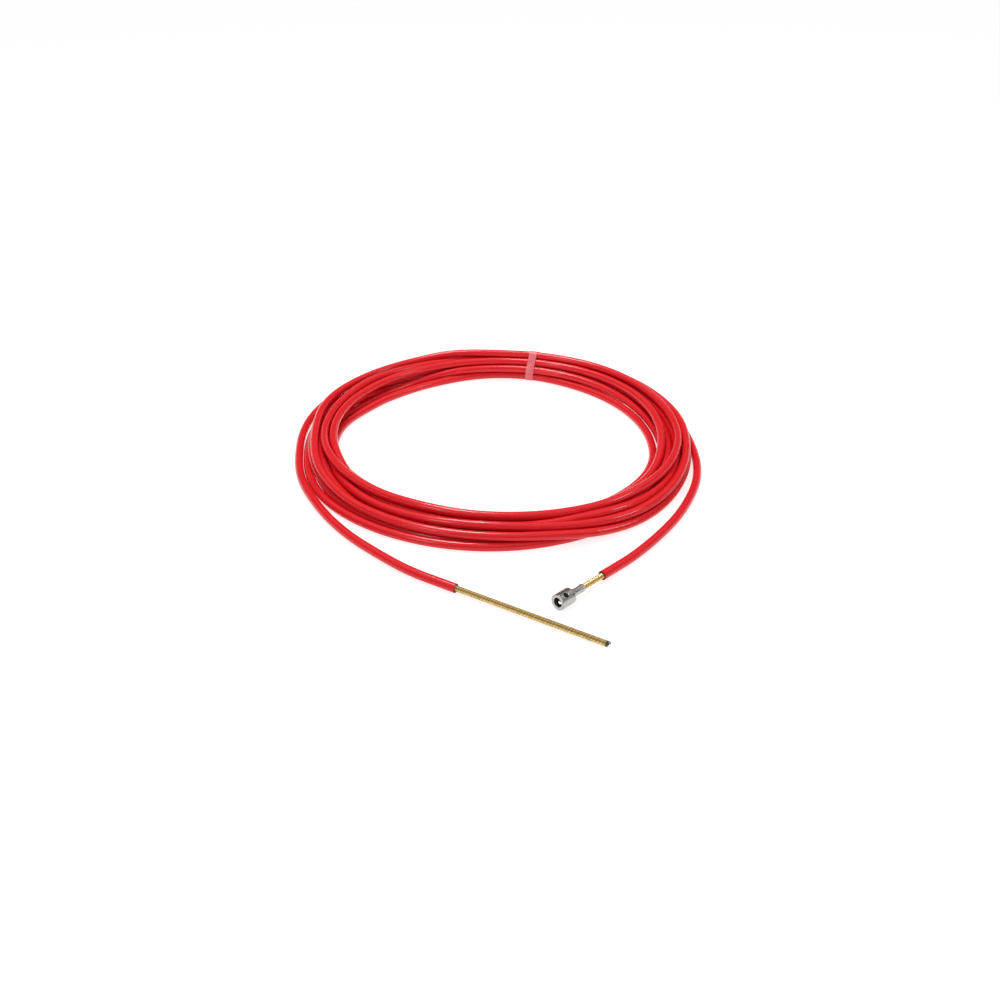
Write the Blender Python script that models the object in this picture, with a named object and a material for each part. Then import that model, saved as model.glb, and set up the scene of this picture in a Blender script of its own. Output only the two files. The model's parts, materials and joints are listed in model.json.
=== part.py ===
"""Coiled flexible drive shaft for a drain cleaning machine.

A steel flexible shaft, wound from concentric layers of wire, turns inside a red nylon sheath. The
whole length lies coiled on the floor, held by one strap. At the input end the shaft is crimped into
a steel coupler, and at the output end it stands bare for a cutting head. Both ends of the shaft turn
together and slide together inside the sheath.

The coil lies on z = 0 with its axis vertical. Metres, +Z up.
"""

from math import atan2, cos, exp, hypot, pi, radians, sin

import bmesh
import bpy
from mathutils import Matrix, Vector

# Where the coil's axis stands in the part's frame, whose origin is under the middle of everything.
COIL_AXIS = Vector((-0.0018, 0.0811, 0.0))

# Sheath: nylon tube.
SHEATH_R = 0.0050
SHEATH_BORE_R = 0.0035
MOUTH_LENGTH = 0.040
MOUTH_BORE_DEPTH = 0.038
MOUTH_STEPS = 32
FLOOR_CLEARANCE = 0.0001

# Coil of sheath: the outline of the bundle, turned about the coil's axis.
COIL_INNER_R = 0.1920
COIL_OUTER_R = 0.2345
COIL_HEIGHT = 0.0291
COIL_CORNER_R = 0.0090
COIL_STEPS = 72

# At the back one more strand lies on top, so the bundle rises there and sinks again either side.
RISE_HEIGHT = 0.0092
RISE_ANGLE = radians(78)
RISE_WIDTH = radians(40)

# Strap: a thin flat band round the bundle, sunk a little into it.
STRAP_ANGLE = radians(76.0)
STRAP_WIDTH = 0.0105
STRAP_THICKNESS = 0.0004
STRAP_GROOVE_DEPTH = 0.0009
STRAP_GROOVE_WIDTH = STRAP_WIDTH + 0.0010
STRAP_GROOVE_OUTSIDE = 0.005

# Flexible shaft: inner and outer radius of each layer, from the core outwards.
SHAFT_LAYERS = {
    "core_wire": (0.0, 0.00050),
    "inner_winding": (0.00080, 0.00130),
    "middle_winding": (0.00160, 0.00210),
    "outer_winding": (0.00240, 0.003175),
}
BARE_INPUT = 0.0305
BARE_OUTPUT = 0.167
HIDDEN_INPUT = 0.012
HIDDEN_OUTPUT = 0.030
CORE_PROUD = 0.0012
CORE_STEPS = 12
WINDING_STEPS = 24

# Drive coupler: a barrel with a bore for the machine's stub, a short neck, and a thin shank that is
# crimped on the shaft.
SHANK_LENGTH = 0.0150
SHANK_R = 0.0042
SHANK_FLAT_R = 0.0039
SHANK_BORE_R = 0.0035
SHANK_GRIP = 0.0150
CRIMP_MARGIN = 0.0025
CRIMP_RUNOUT = 0.0010
NECK_LENGTH = 0.0045
NECK_R = 0.0050
BARREL_LENGTH = 0.0180
BARREL_R = 0.0085
BARREL_CHAMFER = 0.0006
BARREL_BORE_R = 0.0050
BARREL_BORE_DEPTH = 0.0130
DRILL_POINT = 0.0020
CROSS_HOLE_R = 0.0027
CROSS_HOLE_FROM_FACE = 0.0077
CROSS_HOLE_ROLL = radians(28)
CROSS_HOLE_STEPS = 20
COUPLER_STEPS = 36

# Ends of the sheath, about the coil's axis, and the way the shaft points there.
INPUT_MOUTH = Vector((0.1083, -0.2897, 0.0067))
INPUT_HEADING = radians(-134.1)
INPUT_RISE = 0.0410
OUTPUT_MOUTH = Vector((-0.0389, -0.3092, 0.0051))
OUTPUT_HEADING = radians(-30.5)
OUTPUT_RISE = -0.0100

# Where the loose stretches of sheath run between the coil and their mouths, about the coil's axis.
OUTPUT_ROUTE = [
    (-0.2420, 0.004), (-0.2400, -0.030), (-0.2340, -0.062), (-0.2205, -0.104),
    (-0.1990, -0.152), (-0.1700, -0.197), (-0.1350, -0.2365),
]
INPUT_ROUTE = [
    (0.2450, 0.029), (0.2455, -0.010), (0.2430, -0.052), (0.2335, -0.098),
    (0.2120, -0.152), (0.1860, -0.1985),
]
ROUTE_STEP = 0.022

TOUCH_GAP = 0.0003


def material(name, colour, roughness, metallic=0.0):
    made = bpy.data.materials.new(name)
    made.use_nodes = True
    shader = made.node_tree.nodes["Principled BSDF"]
    shader.inputs["Base Color"].default_value = (*colour, 1.0)
    shader.inputs["Roughness"].default_value = roughness
    shader.inputs["Metallic"].default_value = metallic
    return made


def add(name, mesh, finish, parent, matrix=None):
    """Puts a finished bmesh in the scene as one named object."""
    bmesh.ops.recalc_face_normals(mesh, faces=mesh.faces)
    data = bpy.data.meshes.new(name)
    mesh.to_mesh(data)
    mesh.free()
    data.shade_smooth()
    data.set_sharp_from_angle(angle=radians(35))
    if finish:
        data.materials.append(finish)
    placed = bpy.data.objects.new(name, data)
    placed.parent = parent
    placed.matrix_local = matrix or Matrix.Identity(4)
    bpy.context.collection.objects.link(placed)
    return placed


def cut(placed, cutter):
    """Takes a cutter's shape out of an object."""
    cutter.hide_render = True
    cutter.display_type = "WIRE"
    modifier = placed.modifiers.new(cutter.name, "BOOLEAN")
    modifier.operation = "DIFFERENCE"
    modifier.solver = "EXACT"
    modifier.object = cutter


def shaft_frame(mouth, heading, rise, roll=0.0):
    """The frame at a mouth whose +Z runs along the shaft, out of the sheath."""
    along = Vector((cos(heading), sin(heading), rise)).normalized()
    side = Vector((0, 0, 1)).cross(along).normalized()
    rolled = along.cross(side) * cos(roll) + side * sin(roll)
    frame = Matrix((rolled, along.cross(rolled), along)).transposed().to_4x4()
    frame.translation = mouth
    return frame


def axis_empty(name, parent, frame):
    """An empty on a joint's axis, which the pieces that move with it hang from."""
    empty = bpy.data.objects.new(name, None)
    empty.parent = parent
    empty.matrix_local = frame
    bpy.context.collection.objects.link(empty)
    return empty


def turned(profile, steps, closed):
    """Turns a profile of (radius, height) points about +Z. An open one starts and ends on the axis."""
    mesh = bmesh.new()
    points = [mesh.verts.new((radius, 0, height)) for radius, height in profile]
    edges = [mesh.edges.new(pair) for pair in zip(points, points[1:])]
    if closed:
        edges.append(mesh.edges.new((points[-1], points[0])))
    bmesh.ops.spin(
        mesh, geom=points + edges, axis=(0, 0, 1), cent=(0, 0, 0),
        angle=2 * pi, steps=steps, use_merge=True,
    )
    bmesh.ops.remove_doubles(mesh, verts=mesh.verts, dist=1e-6)
    return mesh


def rise(angle):
    """How much higher than COIL_HEIGHT the bundle stands at an angle round the coil."""
    return RISE_HEIGHT * exp(-(((angle - RISE_ANGLE + pi) % (2 * pi) - pi) / RISE_WIDTH) ** 2)


def bundle_outline(offset, height=COIL_HEIGHT, points_per_corner=5):
    """The bundle's rounded section as (radius, height) points, moved outwards by an offset."""
    corner = COIL_CORNER_R + offset
    low, high = COIL_CORNER_R, height - COIL_CORNER_R
    near, far = COIL_INNER_R + COIL_CORNER_R, COIL_OUTER_R - COIL_CORNER_R
    outline = []
    for middle_r, middle_z, start in (
        (far, low, 270), (far, high, 0), (near, high, 90), (near, low, 180),
    ):
        for step in range(points_per_corner + 1):
            angle = radians(start + 90 * step / points_per_corner)
            outline.append((middle_r + corner * cos(angle), middle_z + corner * sin(angle)))
    return outline


def band(inner_offset, outer_offset, width):
    """A flat closed band as high as the bundle is under the strap, at angle 0 of the coil."""
    mesh = bmesh.new()
    height = COIL_HEIGHT + rise(STRAP_ANGLE)
    loops = []
    for offset in (inner_offset, outer_offset):
        ring = [mesh.verts.new((r, -width / 2, z)) for r, z in bundle_outline(offset, height)]
        loops.append([mesh.edges.new(pair) for pair in zip(ring, ring[1:] + ring[:1])])
    face = bmesh.ops.bridge_loops(mesh, edges=loops[0] + loops[1])["faces"]
    grown = bmesh.ops.extrude_face_region(mesh, geom=face, use_keep_orig=True)["geom"]
    moved = [item for item in grown if isinstance(item, bmesh.types.BMVert)]
    bmesh.ops.translate(mesh, verts=moved, vec=(0, width, 0))
    return mesh


def sheath_coil(coil, finish):
    ring = turned(bundle_outline(0.0), COIL_STEPS, closed=True)
    for vert in ring.verts:
        if vert.co.z > COIL_HEIGHT / 2:
            vert.co.z += rise(atan2(vert.co.y, vert.co.x))
    coil_ring = add("sheath_coil", ring, finish, coil)
    groove = band(-STRAP_GROOVE_DEPTH, STRAP_GROOVE_OUTSIDE, STRAP_GROOVE_WIDTH)
    cutter = add("strap_groove", groove, None, coil, Matrix.Rotation(STRAP_ANGLE, 4, "Z"))
    cut(coil_ring, cutter)


def tie_strap(coil, finish):
    inner = -STRAP_GROOVE_DEPTH + TOUCH_GAP
    strap = band(inner, inner + STRAP_THICKNESS, STRAP_WIDTH)
    add("tie_strap", strap, finish, coil, Matrix.Rotation(STRAP_ANGLE, 4, "Z"))


def sheath_mouth(name, axis, finish):
    """The last straight stretch of sheath, open at its end, which the shaft runs out of."""
    profile = [
        (0, -MOUTH_LENGTH), (SHEATH_R, -MOUTH_LENGTH), (SHEATH_R, 0),
        (SHEATH_BORE_R, 0), (SHEATH_BORE_R, -MOUTH_BORE_DEPTH), (0, -MOUTH_BORE_DEPTH),
    ]
    add(name, turned(profile, MOUTH_STEPS, closed=False), finish, axis)


def smooth_route(points, step):
    """Points about a step apart, along a Catmull-Rom curve through the route's own points."""
    ends = [2 * points[0] - points[1], *points, 2 * points[-1] - points[-2]]
    route = []
    for before, start, end, after in zip(ends, ends[1:], ends[2:], ends[3:]):
        count = max(1, round((end - start).length / step))
        for index in range(count):
            t = index / count
            route.append(
                0.5 * (2 * start + (end - before) * t
                       + (2 * before - 5 * start + 4 * end - after) * t**2
                       + (3 * start - before - 3 * end + after) * t**3)
            )
    return route + [points[-1]]


def sheath_run(name, coil, frame, route, finish):
    """The loose stretch of sheath from the coil to the back of its mouth, lying on the floor."""
    mouth_back = frame @ Vector((0, 0, -MOUTH_LENGTH - TOUCH_GAP))
    before_back = frame @ Vector((0, 0, -MOUTH_LENGTH - ROUTE_STEP))
    floor_z = SHEATH_R + FLOOR_CLEARANCE
    before_back.z = max(before_back.z, floor_z)
    points = [Vector((x, y, floor_z)) for x, y in route] + [before_back, mouth_back]
    curve = bpy.data.curves.new(name, "CURVE")
    curve.dimensions = "3D"
    curve.bevel_depth = SHEATH_R
    curve.bevel_resolution = 2
    curve.use_fill_caps = True
    path = smooth_route(points, ROUTE_STEP)
    spline = curve.splines.new("POLY")
    spline.points.add(len(path) - 1)
    for point, place in zip(spline.points, path):
        point.co = (*place, 1.0)
    curve.materials.append(finish)
    placed = bpy.data.objects.new(name, curve)
    placed.parent = coil
    bpy.context.collection.objects.link(placed)


def flexible_shaft(end, axis, low, high, winding_finish, core_finish):
    """One end of the shaft: a core wire and three windings over it, each a layer of its own."""
    for layer, (inner_r, outer_r) in SHAFT_LAYERS.items():
        if inner_r == 0:
            top = high + (CORE_PROUD if end == "output" else 0)
            profile = [(0, low), (outer_r, low), (outer_r, top), (0, top)]
            mesh = turned(profile, CORE_STEPS, closed=False)
        else:
            profile = [(inner_r, low), (outer_r, low), (outer_r, high), (inner_r, high)]
            mesh = turned(profile, WINDING_STEPS, closed=True)
        finish = core_finish if layer == "core_wire" else winding_finish
        add(f"{end}_{layer}", mesh, finish, axis)


def press_flats(mesh, low, high, inside_r, flat_r):
    """Presses six flats into the outside of a turned shape, between two heights."""
    for vert in mesh.verts:
        radius = hypot(vert.co.x, vert.co.y)
        if radius > inside_r and low <= vert.co.z <= high:
            angle = atan2(vert.co.y, vert.co.x)
            to_flat = (angle + pi / 6) % (pi / 3) - pi / 6
            shrink = min(1.0, flat_r / cos(to_flat) / radius)
            vert.co.x *= shrink
            vert.co.y *= shrink


def drive_coupler(axis, finish):
    """Barrel, neck and crimped shank in one piece, with a hole drilled across the barrel."""
    shank_end = BARE_INPUT
    neck_start = shank_end + SHANK_LENGTH
    barrel_start = neck_start + NECK_LENGTH
    face = barrel_start + BARREL_LENGTH
    crimp_low, crimp_high = shank_end + CRIMP_MARGIN, neck_start - CRIMP_MARGIN
    profile = [
        (0, shank_end + SHANK_GRIP),
        (SHANK_BORE_R, shank_end + SHANK_GRIP),
        (SHANK_BORE_R, shank_end),
        (SHANK_R, shank_end),
        (SHANK_R, crimp_low - CRIMP_RUNOUT),
        (SHANK_R, crimp_low),
        (SHANK_R, crimp_high),
        (SHANK_R, crimp_high + CRIMP_RUNOUT),
        (SHANK_R, neck_start),
        (NECK_R, neck_start),
        (NECK_R, barrel_start),
        (BARREL_R - BARREL_CHAMFER, barrel_start),
        (BARREL_R, barrel_start + BARREL_CHAMFER),
        (BARREL_R, face - BARREL_CHAMFER),
        (BARREL_R - BARREL_CHAMFER, face),
        (BARREL_BORE_R, face),
        (BARREL_BORE_R, face - BARREL_BORE_DEPTH),
        (0, face - BARREL_BORE_DEPTH - DRILL_POINT),
    ]
    mesh = turned(profile, COUPLER_STEPS, closed=False)
    just_over = 1e-5
    press_flats(mesh, crimp_low - just_over, crimp_high + just_over, SHANK_BORE_R * 1.1, SHANK_FLAT_R)
    coupler = add("drive_coupler", mesh, finish, axis)

    drill = bmesh.new()
    across = Matrix.Rotation(pi / 2, 4, "Y")
    bmesh.ops.create_cone(
        drill, cap_ends=True, segments=CROSS_HOLE_STEPS, radius1=CROSS_HOLE_R, radius2=CROSS_HOLE_R,
        depth=4 * BARREL_R, matrix=Matrix.Translation((0, 0, face - CROSS_HOLE_FROM_FACE)) @ across,
    )
    cut(coupler, add("cross_hole_drill", drill, None, axis))


def build():
    for old in list(bpy.data.objects):
        bpy.data.objects.remove(old)

    red_nylon = material("red_nylon", (0.68, 0.014, 0.022), 0.38)
    wound_wire = material("brass_coated_wire", (0.45, 0.30, 0.13), 0.38, 0.9)
    core_steel = material("dark_steel_wire", (0.16, 0.15, 0.14), 0.5, 0.9)
    machined_steel = material("machined_steel", (0.56, 0.55, 0.53), 0.3, 1.0)
    pink_strap = material("pink_strap", (0.86, 0.20, 0.26), 0.45)

    coil = bpy.data.objects.new("coil_axis", None)
    coil.location = COIL_AXIS
    bpy.context.collection.objects.link(coil)
    input_frame = shaft_frame(INPUT_MOUTH, INPUT_HEADING, INPUT_RISE, CROSS_HOLE_ROLL)
    output_frame = shaft_frame(OUTPUT_MOUTH, OUTPUT_HEADING, OUTPUT_RISE)
    input_axis = axis_empty("input_axis", coil, input_frame)
    output_axis = axis_empty("output_axis", coil, output_frame)

    sheath_coil(coil, red_nylon)
    tie_strap(coil, pink_strap)
    sheath_mouth("sheath_mouth_input", input_axis, red_nylon)
    sheath_mouth("sheath_mouth_output", output_axis, red_nylon)
    sheath_run("sheath_run_input", coil, input_frame, INPUT_ROUTE, red_nylon)
    sheath_run("sheath_run_output", coil, output_frame, OUTPUT_ROUTE, red_nylon)
    shank_floor = BARE_INPUT + SHANK_GRIP - TOUCH_GAP
    flexible_shaft("input", input_axis, -HIDDEN_INPUT, shank_floor, wound_wire, core_steel)
    flexible_shaft("output", output_axis, -HIDDEN_OUTPUT, BARE_OUTPUT, wound_wire, core_steel)
    drive_coupler(input_axis, machined_steel)


build()
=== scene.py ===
# %% [markdown]
# # A drain cleaning shaft, coiled on the floor
#
# The object is a long flexible steel shaft inside a red nylon sheath. A machine turns the shaft at
# one end, through a steel coupler, and a cutting head clamps on the bare wire at the other end.
# The solid model gives the sizes, the joints and the places of both ends. This lesson lays the
# sheath strand by strand, winds the wire, turns the coupler and gives each its finish.

import json
from math import asin, atan2, cos, degrees, hypot, pi, radians, sin, tan

import bmesh
import bpy
import numpy as np
from mathutils import Matrix, Vector


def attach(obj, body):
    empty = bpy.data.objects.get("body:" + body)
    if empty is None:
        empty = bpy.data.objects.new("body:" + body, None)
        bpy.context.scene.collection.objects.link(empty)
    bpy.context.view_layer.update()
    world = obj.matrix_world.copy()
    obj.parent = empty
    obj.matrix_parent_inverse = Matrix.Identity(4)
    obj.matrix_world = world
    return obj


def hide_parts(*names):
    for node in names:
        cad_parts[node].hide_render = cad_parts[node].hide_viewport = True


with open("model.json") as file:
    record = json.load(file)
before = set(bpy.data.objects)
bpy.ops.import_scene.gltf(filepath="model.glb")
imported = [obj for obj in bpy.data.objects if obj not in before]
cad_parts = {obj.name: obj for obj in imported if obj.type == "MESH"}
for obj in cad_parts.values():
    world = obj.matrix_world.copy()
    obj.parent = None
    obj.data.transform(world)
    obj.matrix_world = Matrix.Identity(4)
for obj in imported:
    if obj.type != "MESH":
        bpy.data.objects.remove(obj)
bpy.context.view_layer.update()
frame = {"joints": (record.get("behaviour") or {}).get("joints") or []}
joints = {joint["name"]: joint for joint in frame["joints"]}

# %% [markdown]
# ## The camera
#
# A person standing over the coil looks down at it by about thirty degrees. The lens is a little
# longer than a wide one, so that the ring stays round and its near side is only slightly larger.

# %% Set up the camera
COIL_AXIS = Vector((-0.0018, 0.0811, 0.0))
CAMERA_FROM_COIL = Vector((0.005, -1.165, 0.633))
LOOKING_DOWN = radians(31.5)

camera_data = bpy.data.cameras.new("camera")
camera_data.sensor_width = 36.0
camera_data.lens = 38.16
camera = bpy.data.objects.new("camera", camera_data)
camera.location = COIL_AXIS + CAMERA_FROM_COIL
camera.rotation_euler = (pi / 2 - LOOKING_DOWN, 0, 0)
bpy.context.collection.objects.link(camera)
bpy.context.scene.camera = camera
print("camera stands at", [round(c, 3) for c in camera.location])

# %% [markdown]
# ## Where the shaft leaves the sheath
#
# Each end has a mouth, where the sheath is cut square and the shaft comes out. A mouth gets a frame
# of its own with +Z along the shaft, out of the sheath. The places and directions are read from the
# joints, so whatever is made here turns and slides on the right line.


# %% Frames at the two mouths
def mouth_frame(spin, outward, roll=0.0):
    along = Vector(spin["axis"]) * outward
    side = Vector((0, 0, 1)).cross(along).normalized()
    rolled = along.cross(side) * cos(roll) + side * sin(roll)
    place = Matrix((rolled, along.cross(rolled), along)).transposed().to_4x4()
    place.translation = spin["pos_m"]
    return place


CROSS_HOLE_ROLL = radians(28)
input_mouth = mouth_frame(joints["input_spin"], -1, CROSS_HOLE_ROLL)
output_mouth = mouth_frame(joints["output_spin"], 1)
print("input mouth", input_mouth.translation, "output mouth", output_mouth.translation)

# %% [markdown]
# ## How the strands lie
#
# Ten and a half turns of sheath lie in a loose bundle. Nobody stacks them one by one, so they
# change places on the way round: a strand that runs on the floor at the left climbs over two others
# by the time it reaches the front. So the lay is set as a rope worker would note it, at places
# all round the coil: which turn lies where, as its distance from the middle and its height in
# millimetres. Turns are counted from 0, at the left, going clockwise as seen from above.

# %% The turns at places round the coil
SHEATH_R = 0.0050
FLOOR_CLEARANCE = 0.0001
MM = 0.001
TURNS_AT = {
    180: {7: (201.8, 5), 8: (211.9, 5), 9: (222, 5), 10: (231.9, 5), 0: (241.8, 5),
          1: (206, 13.7), 2: (216.5, 13.7), 3: (226.6, 13.7),
          6: (201.4, 22.8), 5: (211.5, 22.6), 4: (222.2, 22.6)},
    157.5: {4: (231.6, 22.5), 0: (250, 5), 7: (200, 5)},
    135: {7: (190.5, 5), 8: (201, 5), 1: (211.5, 5), 9: (222.5, 5), 10: (235.5, 5),
          2: (209.5, 13.7), 3: (228, 13.7), 0: (249, 7),
          6: (203, 22.8), 5: (215, 22.4), 4: (231.8, 22.6)},
    90: {7: (197, 5), 1: (207.8, 5), 9: (218.6, 5), 10: (229.2, 5),
         8: (195.2, 14.6), 2: (205.8, 14), 3: (216.8, 13.6),
         6: (201.5, 23), 5: (212.2, 22.6), 0: (223, 21.8), 4: (206.6, 31.2)},
    45: {7: (191.5, 5), 1: (206, 5), 9: (221, 5), 10: (238, 5),
         8: (198.3, 13.7), 2: (209, 14), 3: (229.5, 10.5),
         6: (206.5, 22.6), 5: (218.6, 20.5), 0: (230.2, 21), 4: (216.8, 29.4)},
    22.5: {0: (230.4, 21.5), 10: (238, 5)},
    0: {7: (193.5, 5), 8: (204, 5), 1: (214.5, 5), 9: (225, 5), 10: (240.6, 5),
        3: (233.8, 11.4), 2: (210.5, 13.7), 5: (220.5, 13.7), 0: (232, 20.6),
        6: (204.5, 22), 4: (223.5, 23)},
    -22.5: {6: (208, 15.5), 7: (199, 5), 3: (237.5, 8), 4: (222, 22.4)},
    -45: {7: (194.5, 5), 8: (204.8, 5), 1: (215, 5), 9: (227, 5), 3: (240.5, 5),
          6: (206, 13.7), 2: (216.6, 13.7), 5: (226.8, 13.9), 0: (237, 14), 4: (217.5, 22.4)},
    -90: {7: (194.4, 5), 8: (204.5, 5), 1: (214.6, 5), 2: (224.7, 5), 9: (235, 5),
          6: (199.4, 13.7), 5: (209.6, 13.7), 0: (219, 21), 3: (230, 13.8), 4: (203.4, 22.6)},
    -135: {7: (198, 5), 8: (208.5, 5), 1: (218, 5), 2: (227, 5), 9: (236, 5),
           6: (192.5, 13.9), 5: (201.5, 13.9), 0: (212.5, 15), 3: (226.5, 14), 4: (202.5, 22.6)},
    -157.5: {6: (196, 9), 7: (206, 5)},
}
OUTPUT_ROUTE = [
    (-0.2375, -0.0292), (-0.2318, -0.0621), (-0.2215, -0.0986), (-0.2090, -0.1306),
    (-0.1700, -0.1970), (-0.1350, -0.2365),
]
INPUT_ROUTE = [
    (0.2419, -0.0224), (0.2406, -0.0622), (0.2335, -0.1001), (0.2206, -0.1357),
    (0.1860, -0.1985),
]


def winding_angle(turn, angle):
    """Degrees wound since the start of turn 0, going clockwise."""
    return 360 * turn + 180 - angle


def polar(x, y):
    return hypot(x, y), degrees(atan2(y, x))


knots = []
for angle, turns in TURNS_AT.items():
    knots += [(winding_angle(turn, angle), r * MM, z * MM) for turn, (r, z) in turns.items()]
for turn, route in ((-1, OUTPUT_ROUTE), (10, INPUT_ROUTE)):
    for x, y in route:
        radius, angle = polar(x, y)
        knots.append((winding_angle(turn, angle), radius, SHEATH_R + FLOOR_CLEARANCE))
knots = np.array(sorted(knots))
print(len(knots), "noted places from", knots[0, 0], "to", knots[-1, 0], "degrees")

# %% [markdown]
# ## Letting the bundle settle
#
# Between the noted places the strands are only drawn smoothly, and some would pass through each
# other. So the whole sheath is cut by 96 upright planes through the coil's axis. In each plane
# every strand is a circle, and circles that overlap push each other apart, the floor pushes up, and
# each strand is drawn back towards its noted place and towards its own neighbours along the way, as
# a stiff tube would be.


# %% Settle the strands in planes through the axis
def smooth(at, known, values):
    """A curve without corners through known values: cubic pieces with matching slopes."""
    slopes = np.gradient(values, known, axis=0)
    index = np.clip(np.searchsorted(known, at) - 1, 0, len(known) - 2)
    width = known[index + 1] - known[index]
    t = ((at - known[index]) / width)[:, None]
    start, end = values[index], values[index + 1]
    leave, arrive = slopes[index] * width[:, None], slopes[index + 1] * width[:, None]
    return (start * (2 * t**3 - 3 * t**2 + 1) + leave * (t**3 - 2 * t**2 + t)
            + end * (3 * t**2 - 2 * t**3) + arrive * (t**3 - t**2))


PLANES = 96
STEP = 360 / PLANES
STRAND_GAP = 0.00015
FAR_AWAY = 10.0
# The strap passes under the bundle here, and lifts it a little, for some degrees either side.
STRAP_ANGLE = 76.0
STRAP_UNDER = 0.0009
STRAP_LIFT_SPREAD = 5.0

first, last = int(np.ceil(knots[0, 0] / STEP)), int(np.floor(knots[-1, 0] / STEP))
wound = np.arange(first, last + 1)
target = smooth(wound * STEP, knots[:, 0], knots[:, 1:])
place = target.copy()

plane_angle = 180 - (wound % PLANES) * STEP
from_strap = np.abs((plane_angle - STRAP_ANGLE + 180) % 360 - 180)
floor_height = SHEATH_R + STRAP_UNDER * np.exp(-((from_strap / STRAP_LIFT_SPREAD) ** 2))

strand_of = wound // PLANES
row = strand_of - strand_of.min()
column = wound % PLANES
turn_count = row.max() + 1
far_away = FAR_AWAY + np.arange(turn_count)[:, None, None] * np.ones((turn_count, PLANES, 2))
diameter = 2 * (SHEATH_R + STRAND_GAP)


# %% [markdown]
# One strand pushed aside pushes the next, so it takes many rounds until they all lie still. In the
# first stage each strand also gives way together with its own next and last place, as a stiff tube
# does, and eases back towards where it was noted. In the second stage only bends that are still too
# sharp are eased.

# %% Push the strands apart until they lie still
PUSH_SHARE = 0.45
SETTLING_ROUNDS, EASING_ROUNDS = 1500, 400
STIFFNESS = 0.35
PULL_BACK = 0.985
EASING = 0.10
SHARP_BEND = 0.0004


def push_apart(place):
    """Moves overlapping circles apart, each by its share, and lifts what is under the floor."""
    grid = far_away.copy()
    grid[row, column] = place
    apart = grid[:, None] - grid[None, :]
    distance = np.linalg.norm(apart, axis=3)
    np.einsum("iip->ip", distance)[:] = 1.0
    overlap = np.clip(diameter - distance, 0, None)
    shift = PUSH_SHARE * (apart * (overlap / np.maximum(distance, 1e-6))[..., None]).sum(axis=1)
    moved = place + shift[row, column]
    moved[:, 1] = np.maximum(moved[:, 1], floor_height)
    return moved, float(overlap.max())


for _ in range(SETTLING_ROUNDS):
    off = place - target
    neighbours = (off[:-2] + off[2:]) / 2
    off[1:-1] += STIFFNESS * (neighbours - off[1:-1])
    place, deepest = push_apart(target + off * PULL_BACK)
for _ in range(EASING_ROUNDS):
    bent = place[1:-1] - (place[:-2] + place[2:]) / 2
    place[1:-1] -= EASING * bent * (np.linalg.norm(bent, axis=1) > SHARP_BEND)[:, None]
    place, deepest = push_apart(place)
print("moved at most", round(np.abs(place - target).max() * 1000, 2), "mm, deepest overlap left",
      round(deepest * 1000, 3), "mm of", round(diameter * 1000, 2))

# %% [markdown]
# ## One line from mouth to mouth
#
# The settled circles are joined into one line in space. At each end it runs on into the last
# straight stretch behind the mouth. The line is then read again at even steps, and its length is
# the real length of the sheath.

# %% Join the line and read it at even steps
MOUTH_LENGTH = 0.040
SPACING = 0.0095
EASED_ROUNDS, EASED_SHARE = 3, 0.3
KEPT_STRAIGHT = 8

turning = np.radians(180 - wound * STEP)
coil_line = np.column_stack([
    COIL_AXIS.x + place[:, 0] * np.cos(turning),
    COIL_AXIS.y + place[:, 0] * np.sin(turning),
    place[:, 1],
])


def straight(mouth):
    """The last straight stretch, from the mouth's face backwards."""
    return np.array([mouth @ Vector((0, 0, -depth)) for depth in np.linspace(0, MOUTH_LENGTH, 5)])


whole_line = np.vstack([straight(output_mouth), coil_line, straight(input_mouth)[::-1]])


def along(line):
    return np.concatenate([[0], np.cumsum(np.linalg.norm(np.diff(line, axis=0), axis=1))])


rough = along(whole_line)
even = np.linspace(0, rough[-1], int(rough[-1] / SPACING))
sheath_line = smooth(even, rough, whole_line)
for _ in range(EASED_ROUNDS):
    inner = sheath_line[KEPT_STRAIGHT:-KEPT_STRAIGHT]
    before = sheath_line[KEPT_STRAIGHT - 1:-KEPT_STRAIGHT - 1]
    after = sheath_line[KEPT_STRAIGHT + 1:-KEPT_STRAIGHT + 1]
    sheath_line[KEPT_STRAIGHT:-KEPT_STRAIGHT] = (
        inner + EASED_SHARE * ((before + after) / 2 - inner))
sheath_line[:, 2] = np.maximum(sheath_line[:, 2], SHEATH_R)

# %% [markdown]
# ## Shared shader groups
#
# Two effects turn up in several finishes. Handling leaves faint scuffs that change the gloss and
# the height a little. Rolling, drawing and turning leave fine lines. Each is built once as a node
# group with named inputs, and placed in a material with that material's own values.


# %% Build the two groups
def new_group(name, inputs, outputs):
    group = bpy.data.node_groups.new(name, "ShaderNodeTree")
    for socket, kind, value in inputs:
        made = group.interface.new_socket(socket, in_out="INPUT", socket_type=kind)
        if value is not None:
            made.default_value = value
    for socket, kind in outputs:
        group.interface.new_socket(socket, in_out="OUTPUT", socket_type=kind)
    return group, group.nodes.new("NodeGroupInput"), group.nodes.new("NodeGroupOutput")


def add_node(tree, kind, values=None, **settings):
    node = tree.nodes.new(kind)
    for name, value in settings.items():
        setattr(node, name, value)
    for socket, value in (values or {}).items():
        node.inputs[socket].default_value = value
    return node


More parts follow.
